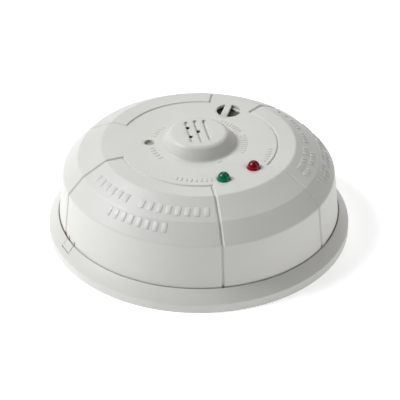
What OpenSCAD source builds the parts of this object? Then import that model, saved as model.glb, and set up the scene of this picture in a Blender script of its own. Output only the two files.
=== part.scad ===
// Ceiling or wall mounted carbon monoxide detector.
// A round head turns and locks onto a flanged mounting base.
// +Z points out of the front of the detector, and z = 0 is the mounting face.

/* [Mounting base] */
// Outside diameter of the flange
base_d = 135; // [128:1:165]
// Height of the flange's upright rim
rim_h = 4.3; // [3.5:0.1:5.5]
// Radial width of the sloping flange
flange_w = 4.7; // [4.2:0.1:6]
// Height of the flange lip above the mounting face
lip_h = 10; // [9:0.5:12.5]
// Thickness of the base plate
plate_t = 1.8; // [1.4:0.1:2.2]
// Thickness of the flange skin
flange_t = 1.6; // [1.2:0.1:1.8]
// Diameter of the wiring opening
wire_d = 60; // [56:1:61]
// Diameter of the screw holes and width of the screw slots
screw_hole_d = 4.5; // [3.5:0.1:5.4]
// Distance between the middles of the two screw slots
slot_spacing = 86; // [80:1:92]
// Length of each screw slot, end to end
slot_len = 12; // [8:0.5:14]
// Distance between the two round screw holes
hole_spacing = 70; // [70:1:90]

/* [Bayonet] */
// Angle that the head turns to come off
twist = 20; // [18:1:26]
// Angle that each lug covers
lug_span = 16; // [12:1:18]
// Thickness of a lug
lug_t = 2.2; // [1.8:0.1:2.6]
// Thickness of a ledge that holds a lug
ledge_t = 1.8; // [1.4:0.1:2.2]
// Radial width of a ledge
ledge_w = 2.7; // [2.2:0.1:3.2]
// Play between sliding faces of the bayonet
play = 0.3; // [0.2:0.05:0.5]

/* [Cover] */
// Height of the flat crown above the mounting face
body_h = 43; // [41.5:0.5:56]
// Wall thickness of the cover
cover_t = 2.2; // [1.8:0.1:2.7]
// Gap between the cover and the flange lip
seam_gap = 0.8; // [0.6:0.1:1.2]
// How far the side wall leans in
wall_lean = 1.8; // [1:0.1:2.4]
// Radial width of the lower facet
shoulder_w = 6.9; // [5:0.1:8.5]
// Height of the lower facet
shoulder_h = 7.5; // [6:0.1:9]
// Radial width of the upper facet
brow_w = 10.7; // [8:0.1:12]
// Height of the upper facet
brow_h = 6.1; // [5:0.1:7.5]
// Radius that blends the cover's outer edges
edge_r = 1.5; // [0.5:0.1:2]
// Width of the panel grooves
groove_w = 1.2; // [0.8:0.1:1.6]
// Depth of the panel grooves
groove_deep = 0.6; // [0.4:0.1:0.9]
// Radius of the groove arcs on the crown
groove_r = 35; // [34:0.5:37]

/* [Dome] */
// Diameter of the dome where it meets the crown
dome_base_d = 33.2; // [32:0.2:35]
// Diameter of the dome's flat top
dome_top_d = 24.6; // [23.4:0.2:26]
// Height of the dome above the crown
dome_h = 5.6; // [5:0.1:6.8]
// Width of the gas slots
gas_slot_w = 1.8; // [1.4:0.1:2.4]
// Diameter of the gas holes in the slots
gas_hole_d = 1.6; // [0.8:0.1:1.7]
// Depth of the gas slots
gas_slot_deep = 1; // [0.6:0.1:1.2]
// Distance between neighbouring gas slots
gas_slot_pitch = 4; // [3.4:0.1:4.6]
// Length of the gas slots
gas_slot_len = 18.2; // [14:0.1:18.4]

/* [Crown details] */
// Diameter of the horn port
port_d = 10.9; // [9:0.1:12.5]
// Width of the bar that guards the horn port
bar_w = 3; // [2:0.1:3.4]
// Diameter of an indicator lens' dome
lens_d = 5; // [4:0.1:5.6]
// Diameter of the foot of an indicator lens
foot_d = 5.9; // [5.8:0.1:7]
// Diameter of the test button's hole
button_hole_d = 4.2; // [3.6:0.1:4.8]
// Travel of the test button
button_travel = 0.8; // [0.4:0.1:1]
// How far the test button sits below the crown
button_recess = 1.2; // [0.8:0.1:1.6]

/* [Inside] */
// Diameter of the circuit board
board_d = 94; // [92:1:96]
// Thickness of the circuit board
board_t = 1.6; // [1:0.1:1.8]
// Diameter of the gas sensor
sensor_d = 20; // [18:0.5:21]
// Height of the gas sensor
sensor_h = 16; // [14:0.5:16.5]
// Outside diameter of the horn
horn_d = 28; // [24:0.5:29]
// Height of the horn
horn_h = 9.5; // [8:0.1:10.5]
// Diameter of the battery
battery_d = 17; // [14.5:0.1:17]
// Length of the battery
battery_len = 34.5; // [30:0.1:35]
// Thickness of the battery door
door_t = 1.4; // [1:0.1:1.5]
// Thickness of the rear housing's floor
floor_t = 1.8; // [1.4:0.1:2.2]
// Distance of the cover screws from the axis
boss_r = 52; // [51:0.5:53]
// Diameter of the cover screws' shanks
screw_d = 2.9; // [2.5:0.1:3.2]

/* [Hidden] */
$fn = 96;
lap = 0.2;      // overlap of solids that are joined
over = 1;       // how far a cutter runs past what it cuts
slip = 0.1;     // radial clearance of a part that slides in a bore
fit = 0.25;     // gap between pieces that are fitted together

// Radii and heights of the mounting base
base_r = base_d / 2;
rim_round = 0.9;
lip_r = base_r - flange_w;
lug_z = plate_t + play;
ledge_z = lug_z + lug_t + play;
ledge_r = lip_r - ledge_w;
lug_angles = [-90, 30, 150];
stop_span = 3;
skirt_z = ledge_z + ledge_t + 0.4;

// Release tab in the flange
tab_angle = -152.8;
tab_w = 6.4;
tab_gap = 0.3;
tab_t = 1;
tab_out = 1.7;  // distance from the rim's outside to the window
tab_pin_d = 1;
tab_pin_long = 0.7;
tab_pin_in = 2.5;   // distance from the rim's outside to the tab's pivot

// Cover profile
cover_r = lip_r - seam_gap;
knee_z = body_h - brow_h;
shoulder_z = knee_z - shoulder_h;
shoulder_r = cover_r - wall_lean;
knee_r = shoulder_r - shoulder_w;
crown_r = knee_r - brow_w;
dome_z = body_h + dome_h;
dome_round = 2.6;
dome_foot_round = 1;
crown_under = body_h - cover_t;
dome_under = dome_z - cover_t;
panels = [[-159.5, -80.5], [-31, 48.3], [81.3, 156.6]];

// Crown details
gas_turn = 10.9;
gas_slot_shift = 0.6;
gas_holes = [[-1, 5.4], [-1, -2.1], [0, 1.6]];
port_at = [13.5, 27.4];
bar_turn = 75.5;
bar_off = -1.2;
port_ledge_w = 1.1;
port_ledge_t = 0.8;
lens_r = 31.2;
green_turn = -70;
red_turn = -40.7;
lens_foot_h = 0.4;
lens_centre_h = 0.7;
lens_stem_d = 4.4;
lens_flange_d = 8;
lens_flange_t = 0.8;
button_r = 21.7;
button_turn = 180;
button_d = button_hole_d - 2 * slip;
guide_d = 7;
guide_h = 5;

// Heights inside the head
gasket_h = 2.2;
sensor_top = dome_under - gasket_h;
sensor_foot = 0.5;
board_top = sensor_top - sensor_h - sensor_foot;
board_z = board_top - board_t;
horn_top = board_top + horn_h;
floor_z = 5.4;
floor_top = floor_z + floor_t;
floor_r = ledge_r - 0.5;
upstand_h = 5;
upstand_t = 1.4;

// Battery pocket
pocket_t = 1.2;
pocket_gap = 0.5;
contact_space = 3;
battery_z = floor_z + 0.2 + battery_d / 2;
pocket_w = battery_d + 2 * pocket_gap;
pocket_len = battery_len + 2 * contact_space;
pocket_top = battery_z + battery_d / 2 + 0.3;
contact_t = 0.4;
contact_w = 12;
leg_w = 2.4;
leg_y = contact_w / 2 - leg_w / 2;

// Battery door, hinged along one long side of the pocket
door_gap = 0.2;
door_lap = 1.6;
door_pin_d = 1.2;
door_knuckle_d = 2.6;
door_knuckle_len = 28;
door_lug_len = 3;
door_hinge_y = -(pocket_w / 2 + door_lap + door_knuckle_d / 2 + 0.3);
door_hinge_z = floor_z - door_knuckle_d / 2 - 0.3;
door_tongue = [8, 0.8, 3];

// Fasteners
boss_d = 7;
boss_angles = [-125, -5, 115];
pad_h = 4.2;
head_d = 5.6;
head_h = 2;
head_clear = 0.3;
post_r = 40;
post_d = 6;
post_angles = [-140, -15, 105];
board_screw_d = 2.4;
board_screw_len = 8;
board_head_d = 4.4;
board_head_h = 1.5;

// Tamper switch and its ramp
tamper_r = 40;
tamper_turn = -60;
tamper_d = 3;
tamper_drop = 1.5;
ramp_h = 1.8;
ramp_w = 5;
ramp_gap = 0.25;
ramp_ends = 3;  // level run past each end of the slope
tamper_tube_h = 10;
tamper_tube_d = 6;
switch_body = 6;
switch_h = 3.5;
switch_cap_d = 3.4;
switch_cap_h = 1.3;
tamper_switch_h = 3;
tamper_cap_h = 0.8;

// ---- Plane geometry ----
function unit(v) = v / norm(v);
function polar(r, a) = [r * cos(a), r * sin(a)];
function turned(v, a) = [v[0] * cos(a) - v[1] * sin(a), v[0] * sin(a) + v[1] * cos(a)];
// The line from a to b, moved to its left by t
function side(a, b, t) = let (d = unit(b - a), n = [-d[1], d[0]]) [a + n * t, b + n * t];
// Where the lines p and q cross
function meet(p, q) =
    let (r = p[1] - p[0], s = q[1] - q[0], w = q[0] - p[0])
    p[0] + r * cross(w, s) / cross(r, s);
// A profile that runs from its foot to the axis, moved inwards by t
function inset(pts, t) =
    let (n = len(pts), lines = [for (i = [0:n - 2]) side(pts[i], pts[i + 1], t)],
         foot = [[0, pts[0][1]], [1, pts[0][1]]])
    concat([meet(lines[0], foot)],
           [for (i = [1:n - 2]) meet(lines[i - 1], lines[i])],
           [[0, lines[n - 2][1][1]]]);
// The points of an arc of radius r that rounds corner b
function corner(a, b, c, r, n = 4) =
    let (u = unit(a - b), v = unit(c - b), half = acos(u * v) / 2,
         centre = b + unit(u + v) * r / sin(half),
         start = b + u * r / tan(half) - centre,
         sweep = (180 - 2 * half) * sign(cross(u, v)) * -1)
    [for (i = [0:n]) centre + turned(start, sweep * i / n)];
function rounded(pts, radii) =
    [for (i = [0:len(pts) - 1])
        each radii[i] == 0 ? [pts[i]] : corner(pts[i - 1], pts[i], pts[i + 1], radii[i])];
function reversed(pts) = [for (i = [len(pts) - 1:-1:0]) pts[i]];

// Outside radius of the cover's side wall at height z
function wall_r(z) = cover_r - wall_lean * (z - lip_h) / (shoulder_z - lip_h);
// The cover's outline, from its foot at height z up to the axis
function cover_outline(z) = [
    [wall_r(z), z], [shoulder_r, shoulder_z], [knee_r, knee_z],
    [crown_r, body_h], [dome_base_d / 2, body_h], [dome_top_d / 2, dome_z], [0, dome_z]
];
cover_rounds = [0, edge_r, edge_r, edge_r, dome_foot_round, dome_round, 0];
// Height of the flange's slope at radius r
function slope_z(r) = lip_h - (r - lip_r) * (lip_h - rim_h) / flange_w;

// ---- Shared shapes ----
// Part of a ring, from angle a1 to angle a2
module sector(r1, r2, z1, z2, a1, a2)
    rotate([0, 0, a1]) rotate_extrude(angle = a2 - a1)
        translate([r1, z1]) square([r2 - r1, z2 - z1]);

module at(r, a) translate([r * cos(a), r * sin(a), 0]) children();

module rod(d, z1, z2) translate([0, 0, z1]) cylinder(d = d, h = z2 - z1);

module tube(d_out, d_in, z1, z2)
    difference() {
        rod(d_out, z1, z2);
        rod(d_in, z1 - over, z2 + over);
    }

// A block centred on the axis
module block(x, y, z1, z2) translate([-x / 2, -y / 2, z1]) cube([x, y, z2 - z1]);

// A profile in the plane of radius and height, w wide along the tangent
module tangent_slab(w) rotate([90, 0, 0]) linear_extrude(w, center = true) children();

// The space inside the cover's outer surface, moved inwards by t, and carried on below its foot
module cover_core(t)
    rotate_extrude() polygon(concat(inset(cover_outline(skirt_z - over), t), [[0, skirt_z - over]]));

module pan_screw(shank_d, shank_len, top_d, top_h)
    union() {
        translate([0, 0, -lap]) cylinder(d = shank_d, h = shank_len + lap);
        difference() {
            translate([0, 0, -top_h]) cylinder(d = top_d, h = top_h);
            for (a = [0, 90])
                rotate([0, 0, a]) translate([-top_d * 0.3, -0.3, -top_h - over])
                    cube([top_d * 0.6, 0.6, over + top_h * 0.5]);
        }
    }

// ---- Mounting base ----
module base_section() {
    rim = [base_r, rim_h];
    foot = [base_r, 0];
    lip = [lip_r, lip_h];
    polygon(concat([[lip_r, 0], foot], corner(foot, rim, lip, rim_round), [lip]));
}

module flange_hollow() {
    r1 = lip_r + flange_t;
    r2 = base_r - flange_t;
    skin = flange_t * norm([lip_h - rim_h, flange_w]) / flange_w;
    rotate_extrude() polygon([
        [r1, -over], [r2, -over], [r2, slope_z(r2) - skin], [r1, slope_z(r1) - skin]
    ]);
}

module tab_window() {
    w = tab_w + 2 * tab_gap;
    rotate([0, 0, tab_angle]) translate([lip_r - over, -w / 2, rim_h + lap])
        cube([flange_w - tab_out + over, w, lip_h]);
}

// The tab's pivot, grown all round by a clearance
module tab_pivot(grow) {
    r = base_r - tab_pin_in;
    long = tab_w + 2 * tab_gap + 2 * tab_pin_long + 2 * grow;
    rotate([0, 0, tab_angle]) translate([r, 0, slope_z(r) - flange_t / 2])
        rotate([90, 0, 0]) cylinder(d = tab_pin_d + 2 * grow, h = long, center = true, $fn = 32);
}

module screw_slot()
    translate([0, 0, -over]) union() {
        for (x = [-1, 1])
            translate([x * (slot_len - screw_hole_d) / 2, 0, 0])
                cylinder(d = screw_hole_d, h = plate_t + 2 * over);
        block(slot_len - screw_hole_d, screw_hole_d, 0, plate_t + 2 * over);
    }

// Slope that presses the tamper plunger in as the head turns home
module tamper_ramp() {
    run = tamper_r * sin(twist / 2);
    low = plate_t + ramp_h - tamper_drop;
    rotate([0, 0, tamper_turn + twist / 2]) translate([tamper_r, 0, 0])
        rotate([90, 0, 90]) linear_extrude(ramp_w, center = true) polygon([
            [-run - ramp_ends, plate_t - lap], [-run - ramp_ends, plate_t + ramp_h],
            [-run, plate_t + ramp_h], [run, low], [run + ramp_ends, low],
            [run + ramp_ends, plate_t - lap]
        ]);
}

module mounting_base()
    color("gainsboro") difference() {
        union() {
            rotate_extrude() base_section();
            difference() {
                rod(2 * lip_r + 2 * lap, 0, plate_t);
                rod(wire_d, -over, plate_t + over);
            }
            for (a = lug_angles) {
                sector(ledge_r, lip_r + lap, ledge_z, ledge_z + ledge_t,
                    a - lug_span / 2 - stop_span, a + lug_span / 2 + 1);
                sector(ledge_r, lip_r + lap, plate_t - lap, ledge_z + lap,
                    a - lug_span / 2 - stop_span, a - lug_span / 2 - 0.4);
            }
            tamper_ramp();
        }
        flange_hollow();
        tab_window();
        tab_pivot(slip / 2);
        for (x = [-1, 1]) translate([x * slot_spacing / 2, 0, 0]) screw_slot();
        for (y = [-1, 1])
            translate([0, y * hole_spacing / 2, 0]) rod(screw_hole_d, -over, plate_t + over);
    }

// Springy tab that a screwdriver lifts to free the head
module release_tab() {
    outer = base_r - tab_out - tab_gap;
    inner = lip_r + tab_gap;
    drop = tab_t * norm([lip_h - rim_h, flange_w]) / flange_w;
    color("whitesmoke") union() {
        rotate([0, 0, tab_angle]) tangent_slab(tab_w)
            polygon([
                [outer, slope_z(outer)], [inner, slope_z(inner)],
                [inner, slope_z(inner) - drop], [outer, slope_z(outer) - drop]
            ]);
        tab_pivot(0);
    }
}

// ---- Cover ----
module cover_shell() {
    line = cover_outline(skirt_z);
    rotate_extrude()
        polygon(concat(rounded(line, cover_rounds), reversed(inset(line, cover_t))));
}

module cover_grooves() {
    for (p = panels) {
        for (a = p)
            rotate([0, 0, a]) difference() {
                translate([groove_r, -groove_w / 2, skirt_z - over])
                    cube([base_r, groove_w, body_h]);
                cover_core(groove_deep);
            }
        // The arc runs on a little, so that it meets the radial grooves in full corners
        sector(groove_r - groove_w / 2, groove_r + groove_w / 2, body_h - groove_deep,
            body_h + over, p[0] - groove_w * 18 / groove_r, p[1] + groove_w * 18 / groove_r);
    }
}

// Posts and tubes that hang from the inside of the cover
module cover_posts()
    intersection() {
        union() {
            for (a = boss_angles) at(boss_r, a) rod(boss_d, floor_z + pad_h, body_h);
            for (a = post_angles) at(post_r, a) rod(post_d, board_top, body_h);
            at(button_r, button_turn) rod(guide_d, crown_under - guide_h, body_h);
        }
        cover_core(cover_t / 2);
    }

// Slots and holes that let gas into the dome
module gas_inlet() {
    along = gas_slot_len - gas_slot_w;
    rotate([0, 0, gas_turn]) {
        for (i = [-1:1]) {
            trim = i == 0 ? 0 : 0.9;
            translate([i * gas_slot_pitch, gas_slot_shift, 0]) {
                block(gas_slot_w, along - trim, dome_z - gas_slot_deep, dome_z + over);
                for (y = [-1, 1])
                    translate([0, y * (along - trim) / 2, 0])
                        rod(gas_slot_w, dome_z - gas_slot_deep, dome_z + over);
            }
        }
        for (h = gas_holes)
            translate([h[0] * gas_slot_pitch, h[1], 0])
                rod(gas_hole_d, dome_under - over, dome_z);
    }
}

// Open part of the horn port, with the guard bar left standing
module horn_port()
    translate([port_at[0], port_at[1], 0]) difference() {
        rod(port_d, crown_under - over, body_h + over);
        rotate([0, 0, bar_turn]) translate([-port_d, -bar_off - bar_w / 2, crown_under - over])
            cube([2 * port_d, bar_w, body_h]);
    }

module front_cover()
    color("ivory") union() {
        difference() {
            union() {
                cover_shell();
                cover_posts();
            }
            cover_grooves();
            gas_inlet();
            horn_port();
            for (a = [green_turn, red_turn])
                at(lens_r, a) rod(foot_d + 2 * slip, crown_under - over, body_h + over);
            at(button_r, button_turn)
                rod(button_hole_d, crown_under - guide_h - over, body_h + over);
            for (a = boss_angles)
                at(boss_r, a) rod(screw_d + slip, floor_z, knee_z - brow_h - cover_t);
            for (a = post_angles)
                at(post_r, a) rod(board_screw_d + slip, board_z, board_top + board_screw_len);
        }
        // Ledge under one side of the horn port
        translate([port_at[0], port_at[1], 0])
            sector(port_d / 2 - port_ledge_w, port_d / 2 + 1,
                crown_under - port_ledge_t + lap, crown_under + lap, 5, 85);
    }

// ---- Rear housing ----
module pocket_shape(grow, z1, z2) block(pocket_len + 2 * grow, pocket_w + 2 * grow, z1, z2);

module along_hinge(x1, x2, d)
    translate([x1, door_hinge_y, door_hinge_z]) rotate([0, 90, 0])
        cylinder(d = d, h = x2 - x1);

// Lugs that hold the pin of the battery door
module door_lugs() {
    x1 = door_knuckle_len / 2 + fit;
    for (x = [-x1 - door_lug_len, x1]) {
        along_hinge(x, x + door_lug_len, door_knuckle_d);
        translate([x, door_hinge_y - door_knuckle_d / 2, door_hinge_z])
            cube([door_lug_len, door_knuckle_d, floor_z - door_hinge_z + lap]);
    }
}

module rear_housing() {
    upstand_r = wall_r(floor_top + upstand_h) - cover_t - fit;
    color("gainsboro") difference() {
        union() {
            rod(2 * min(floor_r, upstand_r), floor_z, floor_top);
            tube(2 * upstand_r, 2 * (upstand_r - upstand_t), floor_top - lap, floor_top + upstand_h);
            pocket_shape(pocket_t, floor_z, pocket_top + pocket_t);
            for (a = boss_angles) at(boss_r, a) rod(head_d + 3.2, floor_z, floor_z + pad_h);
            at(tamper_r, tamper_turn) rod(tamper_tube_d, floor_z, floor_top + tamper_tube_h);
            door_lugs();
            for (a = lug_angles) {
                sector(floor_r - 3, lip_r - seam_gap, lug_z, lug_z + lug_t,
                    a - lug_span / 2, a + lug_span / 2);
                sector(floor_r - 3, floor_r, lug_z, floor_z + lap,
                    a - lug_span / 2, a + lug_span / 2);
            }
        }
        pocket_shape(0, floor_z - over, pocket_top);
        along_hinge(-door_knuckle_len, door_knuckle_len, door_pin_d + slip / 2);
        for (a = boss_angles)
            at(boss_r, a) {
                rod(screw_d + 2 * fit, floor_z, floor_z + pad_h + over);
                rod(head_d + 2 * fit, floor_z - over, floor_z + head_h + head_clear);
            }
        at(tamper_r, tamper_turn)
            rod(tamper_d + 2 * slip, floor_z - over, floor_top + tamper_tube_h + over);
        // Slots for the legs of the battery contacts
        for (x = [-1, 1])
            translate([x * (pocket_len / 2 - contact_t / 2 - 0.1), leg_y, 0])
                block(contact_t + 0.2, leg_w + 2 * fit, pocket_top - over, pocket_top + pocket_t + over);
    }
}

// ---- Circuit board ----
sensor_pin_r = 7;
sensor_pin_angles = [90, 210, 330];
pin_d = 0.9;
lead_d = 0.6;
lead_gap = 2.54;

module circuit_board()
    color("seagreen") difference() {
        rod(board_d, board_z, board_top);
        for (a = post_angles) at(post_r, a) rod(board_screw_d + 2 * fit, board_z - over, board_top + over);
        for (a = sensor_pin_angles)
            at(sensor_pin_r, a) rod(pin_d + slip, board_z - over, board_top + over);
        for (a = [green_turn, red_turn], x = [-1, 1])
            at(lens_r, a) translate([x * lead_gap / 2, 0, 0])
                rod(lead_d + slip, board_z - over, board_top + over);
        for (x = [-1, 1])
            translate([x * (pocket_len / 2 - contact_t / 2 - 0.1), leg_y, 0])
                block(contact_t + 0.4, leg_w + 2 * fit, board_z - over, board_top + over);
        for (x = [-1, 1])
            translate([port_at[0] + x * 8, port_at[1], 0])
                rod(pin_d + slip, board_z - over, board_top + over);
    }

// ---- Gas sensor ----
cap_h = 3;
module co_sensor()
    color("silver") union() {
        rod(sensor_d - 1, board_top + sensor_foot, sensor_top - cap_h);
        rod(sensor_d, board_top + sensor_foot + 1.5, sensor_top - cap_h - 1);
    }

module sensor_cap()
    color("dimgray") difference() {
        rod(sensor_d, sensor_top - cap_h, sensor_top);
        rod(8, sensor_top - 1.5, sensor_top + over);
    }

module sensor_pins()
    color("gold") for (a = sensor_pin_angles)
        at(sensor_pin_r, a) rod(pin_d, board_z - 1.2, board_top + sensor_foot);

module sensor_gasket()
    color("black") tube(sensor_d - 0.6, sensor_d - 5, sensor_top, dome_under);

// ---- Horn ----
horn_wall = 1.2;
horn_seat = 4;      // height of the disc's seat above the board
disc_t = 0.3;
ceramic_t = 0.3;
horn_port_d = 8;
cloth_t = 0.3;
cloth_deep = 1;    // how far the dust cloth sits below the gasket's top

module at_port() translate([port_at[0], port_at[1], 0]) children();

module horn_housing()
    color("darkslategray") at_port() difference() {
        rod(horn_d, board_top, horn_top);
        rod(horn_d - 2 * horn_wall, board_top - over, board_top + horn_seat);
        rod(horn_d - 2 * horn_wall - 3, board_top, horn_top - horn_wall);
        rod(horn_port_d, board_top, horn_top + over);
    }

module horn_disc()
    color("goldenrod") at_port()
        rod(horn_d - 2 * horn_wall - 0.4, board_top + horn_seat - disc_t, board_top + horn_seat);

module horn_ceramic()
    color("whitesmoke") at_port()
        rod(horn_d * 0.62, board_top + horn_seat - disc_t - ceramic_t, board_top + horn_seat - disc_t);

// Foam ring with a dust cloth stretched across it
module horn_gasket()
    color("black") at_port() union() {
        tube(port_d + 7, port_d + 2.6, horn_top, crown_under);
        rod(port_d + 2.6 + 2 * lap, crown_under - cloth_deep - cloth_t, crown_under - cloth_deep);
    }

module horn_contacts()
    color("gold") for (x = [-1, 1])
        at_port() translate([x * 8, 0, 0]) {
            rod(pin_d, board_z - 1.2, board_top + horn_seat - disc_t - ceramic_t - 0.4);
            rod(1.8, board_top + horn_seat - disc_t - ceramic_t - 0.6, board_top + horn_seat - disc_t - ceramic_t);
        }

// ---- Indicators ----
led_d = 3;
led_h = 4.6;
led_rise = 2;       // height of the LED's foot above the board

module lens(a) at(lens_r, a) {
    stem_end = board_top + led_rise + led_h + 0.6;
    rotate_extrude() polygon(concat(
        [[0, stem_end], [lens_stem_d / 2, stem_end],
         [lens_stem_d / 2, crown_under - lens_flange_t],
         [lens_flange_d / 2, crown_under - lens_flange_t],
         [lens_flange_d / 2, crown_under], [foot_d / 2, crown_under], [foot_d / 2, body_h + lens_foot_h],
         [lens_d / 2, body_h + lens_foot_h]],
        [for (i = [0:9]) [0, body_h + lens_centre_h] + polar(lens_d / 2, i * 10)]));
}
module green_lens() color("green") union() { lens(green_turn); lens_tip(green_turn); }
module red_lens() color("firebrick") union() { lens(red_turn); lens_tip(red_turn); }
// The round top of a lens, which its profile only approaches
module lens_tip(a) at(lens_r, a) translate([0, 0, body_h + lens_centre_h])
    intersection() {
        sphere(d = lens_d);
        rod(lens_d, 0, lens_d);
    }

module led(a) at(lens_r, a) union() {
    rod(led_d + 0.8, board_top + led_rise, board_top + led_rise + 0.8);
    rod(led_d, board_top + led_rise, board_top + led_rise + led_h - led_d / 2);
    translate([0, 0, board_top + led_rise + led_h - led_d / 2]) sphere(d = led_d);
}
module green_led() color("lightgreen") led(green_turn);
module red_led() color("tomato") led(red_turn);
module led_leads()
    color("silver") for (a = [green_turn, red_turn], x = [-1, 1])
        at(lens_r, a) translate([x * lead_gap / 2, 0, 0]) rod(lead_d, board_z - 1.2, board_top + led_rise);

// ---- Test button ----
flange_gap = 0.2;
module test_button() {
    guide_end = crown_under - guide_h;
    switch_top = board_top + switch_h + switch_cap_h;
    color("darkgray") at(button_r, button_turn) union() {
        rod(button_d, guide_end - flange_gap - lap, body_h - button_recess);
        rod(guide_d - 0.6, guide_end - flange_gap - 1.2, guide_end - flange_gap);
        rod(3, switch_top + button_travel + 0.1, guide_end - flange_gap);
    }
}

module test_switch()
    color("darkslategray") at(button_r, button_turn) union() {
        block(switch_body, switch_body, board_top, board_top + switch_h);
        rod(switch_cap_d, board_top + switch_h - lap, board_top + switch_h + switch_cap_h);
    }

// ---- Tamper switch ----
module tamper_plunger() {
    tip = plate_t + ramp_h + ramp_gap;
    collar = floor_top + tamper_tube_h + tamper_drop + 0.2;
    color("white") at(tamper_r, tamper_turn) union() {
        translate([0, 0, tip + tamper_d / 2]) sphere(d = tamper_d);
        rod(tamper_d, tip + tamper_d / 2, board_z - tamper_switch_h - tamper_cap_h - 0.2);
        rod(tamper_d + 2, collar, collar + 1);
    }
}

module tamper_switch()
    color("darkslategray") at(tamper_r, tamper_turn) rotate([0, 0, tamper_turn]) union() {
        block(switch_body, switch_body, board_z - tamper_switch_h, board_z);
        rod(switch_cap_d, board_z - tamper_switch_h - tamper_cap_h, board_z - tamper_switch_h + lap);
    }

// ---- Battery ----
nub_d = 6;
nub_h = 1;
module along_x(x1, x2, d) translate([x1, 0, battery_z]) rotate([0, 90, 0]) cylinder(d = d, h = x2 - x1);

module battery() {
    half = battery_len / 2;
    color("steelblue") union() {
        along_x(-half, half - nub_h, battery_d);
        along_x(half - nub_h - lap, half, nub_d);
    }
}

// Plate at one end of the pocket, with a leg up to the board
module contact_plate(x) {
    plate_top = pocket_top - 0.6;
    translate([x * (pocket_len / 2 - contact_t / 2 - 0.1), 0, 0]) union() {
        block(contact_t, contact_w, floor_z + 1, plate_top);
        translate([0, leg_y, 0]) block(contact_t, leg_w, plate_top - lap, board_top + 0.8);
    }
}

module battery_contact_plus()
    color("silver") union() {
        contact_plate(1);
        along_x(battery_len / 2 + 0.05, pocket_len / 2 - contact_t, 4);
    }

// Conical spring, from the plate to the battery's flat end
spring_turns = 3.5;
spring_wire = 0.8;
spring_step = 20;
function spring_point(a) =
    let (t = a / (360 * spring_turns), r = 5 - 2 * t)
    [-(pocket_len / 2 - contact_t - spring_wire / 2)
        + t * (contact_space - contact_t - spring_wire - 0.2),
     r * cos(a), battery_z + r * sin(a)];
spring_path = [for (a = [0:spring_step:360 * spring_turns]) spring_point(a)];

// A round wire along a path, made of one closed skin
module wire(path, d, sides = 8) {
    n = len(path);
    rings = [for (i = [0:n - 1])
        let (f = path[min(i + 1, n - 1)] - path[max(i - 1, 0)], t = f / norm(f),
             s = cross([1, 0, 0], t), u = s / norm(s), v = cross(t, u))
        for (k = [0:sides - 1]) path[i] + (u * cos(360 * k / sides) + v * sin(360 * k / sides)) * d / 2];
    skin = [for (i = [0:n - 2], k = [0:sides - 1])
        let (m = (k + 1) % sides)
        [(i + 1) * sides + k, (i + 1) * sides + m, i * sides + m, i * sides + k]];
    polyhedron(rings, concat([[for (k = [0:sides - 1]) k]], skin,
        [[for (k = [sides - 1:-1:0]) (n - 1) * sides + k]]), convexity = 6);
}

module battery_contact_minus()
    color("silver") union() {
        contact_plate(-1);
        wire(spring_path, spring_wire);
    }

module battery_door()
    color("gainsboro") difference() {
        union() {
            half_y = pocket_w / 2 + door_lap;
            block(pocket_len + 2 * door_lap, 2 * half_y,
                floor_z - door_gap - door_t, floor_z - door_gap);
            along_hinge(-door_knuckle_len / 2, door_knuckle_len / 2, door_knuckle_d);
            translate([-door_knuckle_len / 2, door_hinge_y, floor_z - door_gap - door_t])
                cube([door_knuckle_len, -door_hinge_y - half_y + lap, door_t - 0.2]);
            translate([-door_tongue[0] / 2, pocket_w / 2 - 0.8 - door_tongue[1], floor_z - door_gap - lap])
                cube(door_tongue);
        }
        along_hinge(-door_knuckle_len, door_knuckle_len, door_pin_d + slip);
        // Finger notch in the free edge
        translate([0, pocket_w / 2 + door_lap + 1, 0])
            rod(8, floor_z - door_gap - door_t - over, floor_z - door_gap - door_t + 0.6);
    }

module door_pin()
    color("silver")
        along_hinge(-door_knuckle_len / 2 - door_lug_len, door_knuckle_len / 2 + door_lug_len, door_pin_d);

// ---- Parts on the board ----
chip_at = [-14, -26];
chip_w = 10;
chip_h = 1.4;
chip_pins = 11;
module microcontroller()
    color("black") translate([chip_at[0], chip_at[1], 0]) union() {
        block(chip_w, chip_w, board_top + 0.1, board_top + chip_h);
        for (turn = [0:90:270], i = [0:chip_pins - 1])
            rotate([0, 0, turn])
                translate([chip_w / 2 - lap, (i - (chip_pins - 1) / 2) * 0.8 - 0.15, board_top])
                    cube([1.2, 0.3, 0.5]);
    }

shield_at = [-24, 20];
module radio_shield()
    color("silver") translate([shield_at[0], shield_at[1], 0]) difference() {
        block(16, 13, board_top, board_top + 2.6);
        block(15.4, 12.4, board_top - over, board_top + 2.3);
    }

antenna_r = 44.5;
antenna_d = 1;
antenna_rise = 4;
module antenna()
    color("peru") union() {
        rotate([0, 0, 165]) rotate_extrude(angle = 165)
            translate([antenna_r, board_top + antenna_rise]) circle(d = antenna_d, $fn = 24);
        at(antenna_r, 165.8) rod(antenna_d, board_top, board_top + antenna_rise);
    }

crystal_at = [-30, -12];
module crystal()
    color("silver") translate([crystal_at[0], crystal_at[1], 0]) union() {
        block(7, 4.4, board_top, board_top + 3.4);
        for (x = [-1, 1]) translate([x * 3.5, 0, 0]) rod(4.4, board_top, board_top + 3.4);
    }

module capacitors()
    color("midnightblue") for (p = [[29, -3], [30, 6]])
        translate([p[0], p[1], 0]) union() {
            block(6.6, 6.6, board_top, board_top + 0.8);
            rod(6.3, board_top + 0.6, board_top + 7.7);
        }

module chip_parts()
    color("tan") {
        for (i = [0:5]) translate([-32 + 3.4 * i, 9.5, 0]) block(2, 1.25, board_top, board_top + 0.6);
        for (i = [0:4]) translate([-2 + 3.4 * i, -38, 0]) block(2, 1.25, board_top, board_top + 0.6);
        for (i = [0:3]) translate([34, -16 + 2.6 * i, 0]) block(2, 1.25, board_top, board_top + 0.6);
    }

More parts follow.
